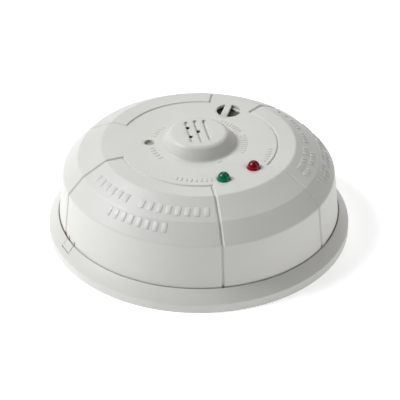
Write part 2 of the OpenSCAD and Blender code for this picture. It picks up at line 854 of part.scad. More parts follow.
// ---- Fasteners and label ----
module cover_screws() {
    under_head = floor_z + head_h + head_clear;
    color("silver") for (a = boss_angles)
        at(boss_r, a) translate([0, 0, under_head]) pan_screw(screw_d, 14, head_d, head_h);
}

module board_screws()
    color("silver") for (a = post_angles)
        at(post_r, a) translate([0, 0, board_z]) pan_screw(board_screw_d, board_screw_len, board_head_d, board_head_h);

label_t = 0.2;
module rating_label()
    color("white") translate([0, pocket_w / 2 + door_lap + 8, 0]) block(26, 11, floor_z - label_t, floor_z);

mounting_base();
release_tab();
front_cover();
rear_housing();
circuit_board();
co_sensor();
sensor_cap();
sensor_pins();
sensor_gasket();
horn_housing();
horn_disc();
horn_ceramic();
horn_gasket();
horn_contacts();
green_lens();
red_lens();
green_led();
red_led();
led_leads();
test_button();
test_switch();
tamper_plunger();
tamper_switch();
battery();
battery_contact_plus();
battery_contact_minus();
battery_door();
door_pin();
microcontroller();
radio_shield();
antenna();
crystal();
capacitors();
chip_parts();
cover_screws();
board_screws();
rating_label();
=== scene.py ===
import math
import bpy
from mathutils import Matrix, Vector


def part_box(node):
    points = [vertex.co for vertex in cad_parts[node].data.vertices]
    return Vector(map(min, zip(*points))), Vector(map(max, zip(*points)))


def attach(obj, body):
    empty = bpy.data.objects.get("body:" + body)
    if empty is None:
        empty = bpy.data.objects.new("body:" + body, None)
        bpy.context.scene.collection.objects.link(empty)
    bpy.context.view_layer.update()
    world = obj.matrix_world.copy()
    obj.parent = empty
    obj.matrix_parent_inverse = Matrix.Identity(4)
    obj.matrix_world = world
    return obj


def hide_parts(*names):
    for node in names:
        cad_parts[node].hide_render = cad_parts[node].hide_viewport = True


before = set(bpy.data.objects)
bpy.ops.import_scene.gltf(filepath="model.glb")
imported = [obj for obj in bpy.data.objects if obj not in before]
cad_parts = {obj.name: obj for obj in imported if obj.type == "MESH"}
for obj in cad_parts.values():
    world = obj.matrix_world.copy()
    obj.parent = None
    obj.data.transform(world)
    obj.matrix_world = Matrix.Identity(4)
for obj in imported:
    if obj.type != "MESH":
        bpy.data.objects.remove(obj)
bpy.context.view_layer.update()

from types import SimpleNamespace

import bmesh
import bpy
import numpy as np
from mathutils import Vector

bl_info = {
    "name": "Carbon monoxide detector",
    "version": (1, 0, 0),
    "blender": (4, 5, 0),
    "location": "3D View > Sidebar > Detector",
    "description": "Builds the looks of a ceiling carbon monoxide detector round its frame",
    "category": "Object",
}

MM = 0.001


# ---- Places that come from the frame, in millimetres ----

def box_mm(node):
    """Lowest and highest corner of a frame node."""
    low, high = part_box(node)
    return np.array(low) / MM, np.array(high) / MM


def middle(node):
    return sum(box_mm(node)) / 2


BASE_R = box_mm("mounting_base")[1][0]
LIP_Z = box_mm("mounting_base")[1][2]
SKIRT_Z = 6.8  # foot of the front cover, inside the flange
DOME_Z = box_mm("front_cover")[1][2]
BOARD_TOP = box_mm("circuit_board")[1][2]
LENSES = {"green": middle("green_lens"), "red": middle("red_lens")}
LENS_LOW, LENS_HIGH = box_mm("green_lens")
BUTTON = middle("test_button")
PORT = middle("horn_gasket")


# ---- Values that a user would change ----

def size(name, description, mm):
    return bpy.props.FloatProperty(name=name, description=description, default=mm * MM,
                                   min=0.0, precision=5, unit="LENGTH", subtype="DISTANCE")


def paint(name, description, rgb):
    return bpy.props.FloatVectorProperty(name=name, description=description, default=rgb,
                                         size=3, min=0.0, max=1.0, subtype="COLOR")


class DetectorCover(bpy.types.PropertyGroup):
    """Sizes of the front cover."""
    seam_r: size("Seam radius", "Radius of the side wall where it meets the flange", 62.58)
    wall_lean: size("Wall lean", "How far the side wall leans in", 2.2)
    shoulder_w: size("Lower facet width", "Radial width of the lower facet", 6.9)
    shoulder_h: size("Lower facet height", "Height of the lower facet", 7.5)
    brow_w: size("Upper facet width", "Radial width of the upper facet", 10.7)
    brow_h: size("Upper facet height", "Height of the upper facet", 6.1)
    edge_r: size("Edge rounding", "Radius that blends the cover's edges", 2.3)
    wall_t: size("Wall thickness", "Thickness of the moulding", 2.2)
    line_w: size("Radial groove width", "Width of the grooves that run outwards", 1.9)
    line_deep: size("Radial groove depth", "Depth of the grooves that run outwards", 0.75)
    arc_w: size("Arc groove width", "Width of the grooves round the crown", 1.4)
    arc_deep: size("Arc groove depth", "Depth of the grooves round the crown", 0.6)
    groove_r: size("Groove arc radius", "Radius of the groove arcs on the crown", 35.0)
    dome_h: size("Dome height", "Height of the dome above the crown", 5.6)
    dome_base_r: size("Dome foot radius", "Radius of the dome where it meets the crown", 16.7)
    dome_top_r: size("Dome top radius", "Radius of the dome's flat top", 12.6)
    dome_foot_round: size("Dome foot blend", "Radius of the blend at the dome's foot", 1.7)
    dome_top_round: size("Dome edge rounding", "Radius of the dome's top edge", 3.0)
    slot_w: size("Gas slot width", "Width of the slots in the dome", 1.8)
    slot_deep: size("Gas slot depth", "Depth of the slots in the dome", 1.0)
    slot_long: size("Gas slot length", "Length of the middle slot", 18.2)
    slot_pitch: size("Gas slot spacing", "Distance between neighbouring slots", 4.0)
    hole_d: size("Gas hole diameter", "Diameter of the holes in the slots", 2.1)
    port_d: size("Horn port diameter", "Diameter of the horn port", 10.9)
    bar_w: size("Guard bar width", "Width of the bar across the horn port", 3.0)
    lens_hole_d: size("Lens hole diameter", "Diameter of the holes for the lenses", 6.1)
    button_hole_d: size("Button hole diameter", "Diameter of the test button's hole", 4.5)


class DetectorBase(bpy.types.PropertyGroup):
    """Sizes of the mounting base."""
    rim_h: size("Rim height", "Height of the flange's upright rim", 4.3)
    flange_w: size("Flange width", "Radial width of the sloping flange", 4.7)
    rim_round: size("Rim rounding", "Radius between the rim and the slope", 1.0)
    skin: size("Flange skin", "Thickness of the flange", 1.6)
    plate_t: size("Plate thickness", "Thickness of the base plate", 1.8)
    wire_d: size("Wiring opening", "Diameter of the wiring opening", 60.0)
    screw_d: size("Screw hole diameter", "Diameter of the screw holes", 4.5)
    slot_spacing: size("Slot spacing", "Distance between the two screw slots", 86.0)
    slot_long: size("Slot length", "Length of each screw slot", 12.0)
    hole_spacing: size("Hole spacing", "Distance between the two screw holes", 70.0)


class DetectorFinish(bpy.types.PropertyGroup):
    """Colours of the main pieces."""
    cover: paint("Cover", "Plastic of the front cover", (0.64, 0.635, 0.605))
    base: paint("Base", "Plastic of the mounting base", (0.64, 0.635, 0.605))
    housing: paint("Housing", "Plastic of the rear housing", (0.58, 0.575, 0.54))
    button: paint("Test button", "Plastic of the test button", (0.33, 0.33, 0.27))
    horn: paint("Horn", "Plastic of the horn", (0.17, 0.165, 0.115))
    green: paint("Green lens", "Tint of the green lens", (0.0, 0.21, 0.105))
    red: paint("Red lens", "Tint of the red lens", (0.32, 0.0, 0.014))
    board: paint("Circuit board", "Solder mask of the circuit board", (0.012, 0.11, 0.045))


def in_mm(group):
    """The lengths of a property group, in millimetres."""
    return SimpleNamespace(**{k: getattr(group, k) / MM for k in type(group).__annotations__})


# ---- Shader expressions ----

class Wire:
    """A shader socket that can stand in an arithmetic expression."""

    def __init__(self, finish, socket):
        self.finish = finish
        self.socket = socket

    def math(self, operation, *others):
        values = dict(enumerate((self, *others)))
        return self.finish.node("ShaderNodeMath", {"operation": operation}, values)

    def __add__(self, other):
        return self.math("ADD", other)

    def __mul__(self, other):
        return self.math("MULTIPLY", other)

    def __sub__(self, other):
        return self.math("SUBTRACT", other)

    def __rsub__(self, other):
        return self.finish.node("ShaderNodeMath", {"operation": "SUBTRACT"}, {0: other, 1: self})

    __radd__ = __add__
    __rmul__ = __mul__

    def ramp(self, low, high):
        """0 below low, 1 above high, and smooth between."""
        return self.finish.node("ShaderNodeMapRange", {"interpolation_type": "SMOOTHSTEP"},
                                {"Value": self, "From Min": low, "From Max": high})


class Finish:
    """A node-based material made round one shader."""

    def __init__(self, name, **constants):
        self.material = bpy.data.materials.new(name)
        self.material.use_nodes = True
        self.tree = self.material.node_tree
        self.shader = self.tree.nodes["Principled BSDF"]
        for socket, value in constants.items():
            self.shader.inputs[socket.replace("_", " ")].default_value = value

    def node(self, kind, settings=None, inputs=None, out=0):
        made = self.tree.nodes.new(kind)
        for key, value in (settings or {}).items():
            setattr(made, key, value)
        for key, value in (inputs or {}).items():
            if isinstance(value, Wire):
                self.tree.links.new(value.socket, made.inputs[key])
            else:
                made.inputs[key].default_value = value
        return Wire(self, made.outputs[out])

    def place(self):
        return self.node("ShaderNodeTexCoord", out="Object")

    def axes(self):
        split = self.node("ShaderNodeSeparateXYZ", None, {0: self.place()})
        return [Wire(self, split.socket.node.outputs[k]) for k in range(3)]

    def noise(self, scale, detail=2.0, rough=0.5, stretch=None):
        where = self.place()
        if stretch:
            where = self.node("ShaderNodeVectorMath", {"operation": "MULTIPLY"},
                              {0: where, 1: stretch})
        return self.node("ShaderNodeTexNoise", None, {
            "Vector": where, "Scale": scale, "Detail": detail, "Roughness": rough})

    def mix(self, share, a, b):
        """Colour a turning into colour b as share goes from 0 to 1."""
        made = self.node("ShaderNodeMix", {"data_type": "RGBA"}, {0: share}, out=2)
        for k, value in ((6, a), (7, b)):
            if isinstance(value, Wire):
                self.tree.links.new(value.socket, made.socket.node.inputs[k])
            else:
                made.socket.node.inputs[k].default_value = (*value, 1.0)
        return made

    def feed(self, name, value):
        self.tree.links.new(value.socket, self.shader.inputs[name])

    def bump(self, height, depth, strength=1.0):
        self.feed("Normal", self.node("ShaderNodeBump", None, {
            "Strength": strength, "Distance": depth, "Height": height}))


def scaled(rgb, k):
    return tuple(min(1.0, c * k) for c in rgb)


# colour of the painted shade in the seam between the head and the base, tinted brown
SEAM_SHADE_RGB = (0.30, 0.22, 0.14)


def moulded(name, rgb, rough=0.42, grain=1.0, seam_shade=None):
    """Injection-moulded plastic: fine spark texture, faint flow clouds and hand sheen.

    The last argument takes the shader's axes and gives the share of painted seam shade, tinted
    brown, at each place.
    """
    f = Finish(name, IOR=1.5, Specular_IOR_Level=0.42)
    cloud = f.noise(22.0, 3.0)
    surface_rgb = f.mix(cloud.ramp(0.3, 0.7), scaled(rgb, 0.972), scaled(rgb, 1.02))
    if seam_shade:
        # mixes painted brown shade in where the seam lies
        surface_rgb = f.mix(seam_shade(f, *f.axes()), surface_rgb, SEAM_SHADE_RGB)
    f.feed("Base Color", surface_rgb)
    f.feed("Roughness", f.noise(60.0, 4.0) * 0.12 + (rough - 0.06))
    f.bump(f.noise(2600.0, 2.0, 0.6) + f.noise(900.0, 2.0) * 0.6, 0.000012 * grain, 0.5)
    return f


def metal(name, rgb, rough=0.28, brushed=(1.0, 1.0, 14.0)):
    f = Finish(name, Metallic=1.0)
    streak = f.noise(700.0, 3.0, 0.6, brushed)
    f.feed("Base Color", f.mix(streak.ramp(0.25, 0.75), scaled(rgb, 0.86), scaled(rgb, 1.06)))
    f.feed("Roughness", streak * 0.22 + (rough - 0.08))
    f.bump(streak, 0.000006, 0.4)
    return f


def foam(name, rgb):
    f = Finish(name, Roughness=0.95)
    cells = f.node("ShaderNodeTexVoronoi", None, {"Vector": f.place(), "Scale": 2200.0})
    f.feed("Base Color", f.mix(cells.ramp(0.1, 0.6), scaled(rgb, 0.5), scaled(rgb, 1.6)))
    f.bump(cells, 0.00012, 0.7)
    return f


def tinted(name, rgb):
    """Clear coloured plastic, a little brighter where light gathers in it."""
    f = Finish(name, IOR=1.49, Roughness=0.3, Transmission_Weight=0.08, Coat_Weight=0.28,
               Coat_Roughness=0.08, Specular_IOR_Level=0.2)
    glow = f.noise(500.0, 1.0)
    height = f.axes()[2]
    core = 1 - height.ramp(LENS_HIGH[2] * MM - 0.0035, LENS_HIGH[2] * MM - 0.0003)
    f.feed("Base Color", f.mix(core * 0.8 + glow * 0.2, scaled(rgb, 0.55), scaled(rgb, 1.3)))
    return f


def fibreboard(name, rgb):
    """Circuit board: solder mask over copper tracks, with tinned pads."""
    f = Finish(name, IOR=1.5, Coat_Weight=0.4, Coat_Roughness=0.12)
    x, y, z = f.axes()
    tracks = f.node("ShaderNodeTexBrick", {"offset": 0.37, "squash": 1.0}, {
        "Vector": f.place(), "Scale": 150.0, "Mortar Size": 0.035, "Mortar Smooth": 0.2,
        "Brick Width": 1.4, "Row Height": 0.42}, out="Fac")
    pads = f.node("ShaderNodeTexVoronoi", None, {"Vector": f.place(), "Scale": 260.0})
    pad = 1 - pads.ramp(0.10, 0.16)
    mask = f.mix(tracks, rgb, scaled(rgb, 2.1))
    f.feed("Base Color", f.mix(pad * 0.8, mask, (0.62, 0.60, 0.52)))
    f.feed("Metallic", pad * 0.7)
    f.feed("Roughness", 0.38 - pad * 0.12)
    f.bump(tracks * 0.6 + pad * 0.5, 0.00003, 0.6)
    return f


def wrapped_cell(name, body, band):
    """Battery sleeve with a plain coloured band at its positive end."""
    f = Finish(name, IOR=1.45, Coat_Weight=0.3, Coat_Roughness=0.1)
    low, high = box_mm("battery")
    x = f.axes()[0]
    positive = x.ramp((high[0] - 11.2) * MM, (high[0] - 11.0) * MM)
    tip = x.ramp((high[0] - 1.5) * MM, (high[0] - 1.3) * MM)
    line = f.node("ShaderNodeMath", {"operation": "COMPARE"},
                  {0: x, 1: (high[0] - 12.4) * MM, 2: 0.3 * MM})
    colours = f.mix(positive, body, band)
    colours = f.mix(line, colours, (0.75, 0.74, 0.70))
    f.feed("Base Color", f.mix(tip, colours, (0.66, 0.65, 0.62)))
    f.feed("Metallic", tip * 1.0)
    f.feed("Roughness", f.noise(120.0, 3.0) * 0.14 + 0.22)
    f.bump(f.noise(260.0, 2.0), 0.00002, 0.5)
    return f


def label_film(name):
    """Blank label: white film with a plain grey rule near its edge."""
    f = Finish(name, Roughness=0.5)
    low, high = box_mm("rating_label")
    mid, half = (low + high) / 2 * MM, (high - low) / 2 * MM
    x, y, z = f.axes()
    inset = 0.0009
    dx = (x - float(mid[0])).math("ABSOLUTE") - (float(half[0]) - inset)
    dy = (y - float(mid[1])).math("ABSOLUTE") - (float(half[1]) - inset)
    edge = dx.math("MAXIMUM", dy).math("ABSOLUTE")
    rule = 1 - edge.ramp(0.00012, 0.0002)
    f.feed("Base Color", f.mix(rule, (0.74, 0.74, 0.71), (0.28, 0.28, 0.28)))
    f.bump(f.noise(1500.0), 0.000008, 0.4)
    return f


def ceramic(name, rgb):
    f = Finish(name, IOR=1.6)
    grains = f.noise(1800.0, 4.0, 0.65)
    f.feed("Base Color", f.mix(grains, scaled(rgb, 0.9), scaled(rgb, 1.08)))
    f.feed("Roughness", grains * 0.3 + 0.35)
    f.bump(grains, 0.00001, 0.5)
    return f


# ---- Mesh makers, in millimetres ----

def new_piece(name, points, faces):
    mesh = bpy.data.meshes.new(name)
    mesh.from_pydata([tuple(p) for p in np.asarray(points, float) * MM], [], faces)
    piece = bpy.data.objects.new(name, mesh)
    bpy.context.scene.collection.objects.link(piece)
    bm = bmesh.new()
    bm.from_mesh(mesh)
    bmesh.ops.recalc_face_normals(bm, faces=bm.faces)
    bm.to_mesh(mesh)
    bm.free()
    return piece


def merged(parts):
    """Several (points, faces) as one."""
    points, faces, start = [], [], 0
    for p, f in parts:
        points.extend(map(tuple, p))
        faces.extend([tuple(i + start for i in face) for face in f])
        start += len(p)
    return points, faces


def rings_solid(rings):
    """A closed skin through rings of equal size. A ring of one point is an apex."""
    points, starts = [], []
    for ring in rings:
        starts.append(len(points))
        points.extend(map(tuple, ring))
    faces = []
    for a, b, sa, sb in zip(rings, rings[1:], starts, starts[1:]):
        n = max(len(a), len(b))
        for i in range(n):
            j = (i + 1) % n
            if len(a) == 1:
                faces.append((sa, sb + i, sb + j))
            elif len(b) == 1:
                faces.append((sa + i, sb, sa + j))
            else:
                faces.append((sa + i, sb + i, sb + j, sa + j))
    for ring, start in ((rings[0], starts[0]), (rings[-1], starts[-1])):
        if len(ring) > 1:
            faces.append(tuple(range(start, start + len(ring))))
    return points, faces


def lathe(profile, x=0.0, y=0.0, turns=64):
    """A solid of revolution from (radius, height) points that run axis to axis, or foot to head."""
    angles = np.linspace(0, 2 * math.pi, turns, endpoint=False)
    rings = []
    for r, z in profile:
        if r < 1e-6:
            rings.append([(x, y, z)])
        else:
            rings.append([(x + r * math.cos(a), y + r * math.sin(a), z) for a in angles])
    return rings_solid(rings)


def ring_lathe(profile, turns=64):
    """A solid of revolution from a closed profile that stays off the axis."""
    angles = np.linspace(0, 2 * math.pi, turns, endpoint=False)
    n = len(profile)
    points = [(r * math.cos(a), r * math.sin(a), z) for r, z in profile for a in angles]
    faces = []
    for k in range(n):
        m = (k + 1) % n
        for i in range(turns):
            j = (i + 1) % turns
            faces.append((k * turns + i, m * turns + i, m * turns + j, k * turns + j))
    return points, faces


def rounded_slot(width, long, grow, steps=12):
    """Outline of a slot with round ends, which runs along y. With long == width it is a circle."""
    r = width / 2 + grow
    half = (long - width) / 2
    if half < 1e-6:
        angles = np.linspace(0, 2 * math.pi, 2 * steps, endpoint=False)
        return r * np.column_stack([np.cos(angles), np.sin(angles)])
    angles = np.concatenate([np.linspace(0, math.pi, steps),
                             np.linspace(math.pi, 2 * math.pi, steps)])
    ends = np.repeat([half, -half], steps)
    return np.column_stack([r * np.cos(angles), ends + r * np.sin(angles)])


def heading(deg):
    """The direction at an angle round the detector's axis."""
    return np.array([math.cos(math.radians(deg)), math.sin(math.radians(deg))])


def spun(points, turn):
    c, s = math.cos(math.radians(turn)), math.sin(math.radians(turn))
    return np.column_stack([points[:, 0] * c - points[:, 1] * s,
                            points[:, 0] * s + points[:, 1] * c])


def slot_solid(x, y, width, long, levels, turn=0.0, steps=12):
    """A round-ended prism whose outline grows by levels' second value at each height."""
    rings = []
    for z, grow in levels:
        flat = spun(rounded_slot(width, long, grow, steps), turn) + (x, y)
        rings.append([(*p, z) for p in flat])
    return rings_solid(rings)


def block_solid(x, y, wide, deep, z1, z2, turn=0.0, chamfer=0.0):
    """A block, with its upper edges cut back by a chamfer."""
    levels = [(z1, 0.0), (z2, chamfer)]
    if chamfer:
        levels.insert(1, (z2 - chamfer, 0.0))
    rings = []
    for z, cut in levels:
        w, d = wide / 2 - cut, deep / 2 - cut
        flat = spun(np.array([(w, d), (-w, d), (-w, -d), (w, -d)]), turn) + (x, y)
        rings.append([(*p, z) for p in flat])
    return rings_solid(rings)


def sector_solid(r1, r2, z1, z2, a1, a2, steps=14):
    """Part of a ring, between two angles."""
    rings = []
    for a in np.radians(np.linspace(a1, a2, steps)):
        c, s = math.cos(a), math.sin(a)
        rings.append([(r * c, r * s, z) for r, z in ((r1, z1), (r2, z1), (r2, z2), (r1, z2))])
    return rings_solid(rings)


def settle(piece):
    """Applies the piece's modifiers."""
    graph = bpy.context.evaluated_depsgraph_get()
    mesh = bpy.data.meshes.new_from_object(piece.evaluated_get(graph))
    piece.modifiers.clear()
    old, piece.data = piece.data, mesh
    mesh.name = piece.name
    bpy.data.meshes.remove(old)


def carve(piece, solid, how="DIFFERENCE"):
    """Cuts a solid out of the piece, or joins it on."""
    tool = new_piece("tool", *solid)
    cut = piece.modifiers.new("cut", "BOOLEAN")
    cut.operation = how
    cut.solver = "MANIFOLD"
    cut.object = tool
    faces = len(piece.data.polygons)
    settle(piece)
    mesh = tool.data
    bpy.data.objects.remove(tool)
    bpy.data.meshes.remove(mesh)
    if len(piece.data.polygons) == faces or not piece.data.polygons:
        raise RuntimeError(f"a {how.lower()} on {piece.name} changed nothing")


def dress(piece, finish, body, slot, *nodes, edge=28.0):
    """Shades, finishes and places a piece, and hides the frame nodes it stands for."""
    mesh = piece.data
    mesh.materials.clear()
    mesh.materials.append(finish.material)
    mesh.polygons.foreach_set("use_smooth", [True] * len(mesh.polygons))
    mesh.set_sharp_from_angle(angle=math.radians(edge))
    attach(piece, body)
    if nodes:
        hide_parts(*nodes)
    return piece


def refinish(node, finish, edge=0.12):
    """Gives a frame node its finish, and breaks its sharp edges a little."""
    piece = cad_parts[node]
    piece.data.materials.clear()
    piece.data.materials.append(finish.material)
    if edge:
        weld = piece.modifiers.new("joined", "WELD")
        weld.merge_threshold = 0.000002
        bevel = piece.modifiers.new("edges", "BEVEL")
        bevel.width = edge * MM
        bevel.segments = 2
        bevel.limit_method = "ANGLE"
        bevel.angle_limit = math.radians(40)
        bevel.harden_normals = False
    return piece


# ---- Front cover ----

def unit(v):
    return v / np.linalg.norm(v)


def blended(corners, radii, steps=8):
    """The corners of an outline, each turned into an arc of its radius."""
    out = []
    pts = [np.array(c, float) for c in corners]
    for i, (b, r) in enumerate(zip(pts, radii)):
        if r == 0:
            out.append(b)
            continue
        u, v = unit(pts[i - 1] - b), unit(pts[i + 1] - b)
        half = math.acos(float(u @ v)) / 2
        centre = b + unit(u + v) * r / math.sin(half)
        start, end = b + u * r / math.tan(half) - centre, b + v * r / math.tan(half) - centre
        sweep = math.pi - 2 * half
        for k in np.linspace(0, 1, steps + 1):
            out.append(centre + (start * math.sin((1 - k) * sweep) + end * math.sin(k * sweep))
                       / math.sin(sweep))
    return out


def inset(corners, t):
    """The outline moved inwards by t, from its foot to the axis."""
    pts = [np.array(c, float) for c in corners]
    lines = []
    for a, b in zip(pts, pts[1:]):
        d = unit(b - a)
        n = np.array([-d[1], d[0]]) * t
        lines.append((a + n, d))
    out = [lines[0][0] + lines[0][1] * (pts[0][1] - lines[0][0][1]) / lines[0][1][1]]
    for (p, d), (q, e) in zip(lines, lines[1:]):
        k = ((q - p)[0] * e[1] - (q - p)[1] * e[0]) / (d[0] * e[1] - d[1] * e[0])
        out.append(p + d * k)
    out.append(np.array([0.0, lines[-1][0][1]]))
    return out


# Angles are in degrees round the axis, and lengths in millimetres.
PANELS = ((-159.5, -80.5), (-31.0, 48.3), (81.3, 156.6))  # from and to, for each panel
SHALLOW_RIGHT = 0.45  # share of depth on the right slopes
GAS_TURN = 10.9  # of the slots in the dome
GAS_SHIFT = 0.6  # of the slots, along them
GAS_HOLES = ((-1, 5.4), (-1, -2.1), (0, 1.6))  # slot, and place along it
GAS_TRIM = 0.9  # outer slots are this much shorter
BAR_TURN = 75.5
BAR_OFF = -1.2
SHELF_TURN = 49.0
SHELF_OFF = 4.1
BOSSES = (52.0, 7.0, (-125, -5, 115))  # radius, diameter, angles
POSTS = (40.0, 6.0, (-140, -15, 105))  # radius, diameter, angles
NOTCHES = ((-157.9, 11.2), (-154.8, 11.6), (-149.9, 11.4))  # angle, and height of the top


def cover_corners(c):
    crown = DOME_Z - c.dome_h
    knee_z = crown - c.brow_h
    shoulder_z = knee_z - c.shoulder_h
    shoulder_r = c.seam_r - c.wall_lean
    knee_r = shoulder_r - c.shoulder_w
    crown_r = knee_r - c.brow_w
    foot_r = c.seam_r - c.wall_lean * (SKIRT_Z - LIP_Z) / (shoulder_z - LIP_Z)
    return [(foot_r, SKIRT_Z), (shoulder_r, shoulder_z), (knee_r, knee_z), (crown_r, crown),
            (c.dome_base_r, crown), (c.dome_top_r, DOME_Z), (0.0, DOME_Z)]


def cover_rows(c):
    """The outer outline as close rows, with more of them where a groove crosses."""
    corners = cover_corners(c)
    radii = (0, c.edge_r, c.edge_r, c.edge_r, c.dome_foot_round, c.dome_top_round, 0)
    line = blended(corners, radii)
    crown = corners[3][1]
    across = [k * c.arc_w / 2 for k in (0, 0.12, 0.25, 0.4, 0.55, 0.7, 0.82, 0.92, 1, 1.15, 1.5)]
    marks = [c.groove_r + s * d for d in across for s in (1, -1)]
    rows = []
    for a, b in zip(line, line[1:]):
        long = float(np.linalg.norm(b - a))
        rows.append(a)
        if long < 1.5:
            continue
        if abs(a[1] - crown) < 1e-6 and abs(b[1] - crown) < 1e-6:
            stops = [r for r in (*marks, a[0] - 0.4, b[0] + 0.4, 40, 38.5, 32, 29, 26, 23)
                     if b[0] + 0.3 < r < a[0] - 0.3]
            rows += [np.array((r, crown)) for r in sorted(set(stops), reverse=True)]
        else:
            pads = [0.4 / long, 1 - 0.4 / long]
            steps = list(np.linspace(0, 1, max(2, int(long / 3.0)) + 1)[1:-1])
            for k in sorted(pads + [s for s in steps if pads[0] < s < pads[1]]):
                rows.append(a + (b - a) * k)
    rows.append(line[-1])
    return np.array(rows)


def groove_columns(c, rows):
    """Angles of every row's points. They keep their distance from the panels' edges."""
    edges = sorted(math.radians(a) for p in PANELS for a in p)
    offsets = [k * c.line_w / 2 for k in (0, 0.12, 0.25, 0.4, 0.55, 0.7, 0.82, 0.92, 1, 1.1, 1.3)]
    offsets = sorted({s * o for o in offsets for s in (1, -1)})
    reach = np.maximum(rows[:, 0], c.groove_r - 2.5)[:, None]
    columns = []
    for k, edge in enumerate(edges):
        nxt = edges[(k + 1) % len(edges)] + (2 * math.pi if k == len(edges) - 1 else 0)
        columns.append(edge + np.array(offsets)[None, :] / reach)
        start, end = edge + offsets[-1] / reach, nxt - offsets[-1] / reach
        n = max(4, int((nxt - edge) / math.radians(2.2)))
        share = np.linspace(0, 1, n + 1)[1:-1][None, :]
        columns.append(start + (end - start) * share)
    return np.hstack(columns), edges


def valley(reach, wide, deep):
    """Depth of a soft-edged groove at a distance from its middle."""
    k = np.clip((wide / 2 - reach) / (wide * 0.42), 0, 1)
    return deep * k * k * (3 - 2 * k)


def groove_depth(c, r, angle, edges):
    """How deep the grooves are at each point."""
    line = np.full(r.shape, 1e3)
    for edge in edges:
        d = np.abs((angle - edge + math.pi) % (2 * math.pi) - math.pi) * r
        line = np.minimum(line, np.hypot(np.where(d < 9, d, 1e3), np.maximum(c.groove_r - r, 0)))
    arc = np.full(r.shape, 1e3)
    for a1, a2 in PANELS:
        on = (np.degrees(angle) - a1) % 360 <= a2 - a1
        arc = np.minimum(arc, np.where(on & (r > 20), np.abs(r - c.groove_r), 1e3))
    # the slopes at the right have shallower lines than the side wall below them
    wall = np.clip(r - (c.seam_r - c.wall_lean) + 1.2, 0, 1)
    share = np.where(np.cos(angle) > 0.85, SHALLOW_RIGHT + (1 - SHALLOW_RIGHT) * wall, 1.0)
    return np.maximum(valley(line, c.line_w, c.line_deep) * share,
                      valley(arc, c.arc_w, c.arc_deep))


def cover_skin(c):
    """The closed moulding with its grooves, before any hole is cut."""
    rows = cover_rows(c)
    ahead = np.vstack([rows[1:], rows[-1:] + (rows[-1] - rows[-2])]) - rows
    behind = rows - np.vstack([rows[:1] * 2 - rows[1:2], rows[:-1]])
    along = ahead / np.linalg.norm(ahead, axis=1)[:, None] \
        + behind / np.linalg.norm(behind, axis=1)[:, None]
    along /= np.linalg.norm(along, axis=1)[:, None]
    normal = np.column_stack([along[:, 1], -along[:, 0]])
    angles, edges = groove_columns(c, rows)
    r = np.repeat(rows[:, :1], angles.shape[1], axis=1)
    depth = groove_depth(c, r, angles, edges)
    rr = rows[:, :1] - normal[:, :1] * depth
    zz = rows[:, 1:] - normal[:, 1:] * depth
    # inside the flange the wall stands straight, clear of the lip
    rr = np.where(zz < LIP_Z, np.minimum(rr, c.seam_r), rr)
    rings = [np.stack([rr[k] * np.cos(angles[k]), rr[k] * np.sin(angles[k]), zz[k]], axis=1)
             for k in range(len(rows) - 1)]
    rings.append(np.array([[0.0, 0.0, rows[-1][1]]]))
    inner = []
    corners = inset(cover_corners(c), c.wall_t)
    for a, b in zip(corners, corners[1:]):
        steps = max(1, int(np.linalg.norm(b - a) / 6))
        inner += [a + (b - a) * k / steps for k in range(steps)]
    inner.append(corners[-1])
    plain = angles[0]
    skin = [np.stack([p[0] * np.cos(plain), p[0] * np.sin(plain), np.full(len(plain), p[1])],
                     axis=1) if p[0] > 1e-6 else np.array([[0.0, 0.0, p[1]]]) for p in inner]
    return rings_solid(list(reversed(rings)) + skin)


def flared(z_low, z_face, grow=0.28, over=1.5):
    """Levels of a cutter that breaks the edge where it meets the face."""
    return ((z_low, 0.0), (z_face - grow, 0.0), (z_face - grow * 0.4, grow * 0.22),
            (z_face, grow), (z_face + over, grow + over * 1.2))


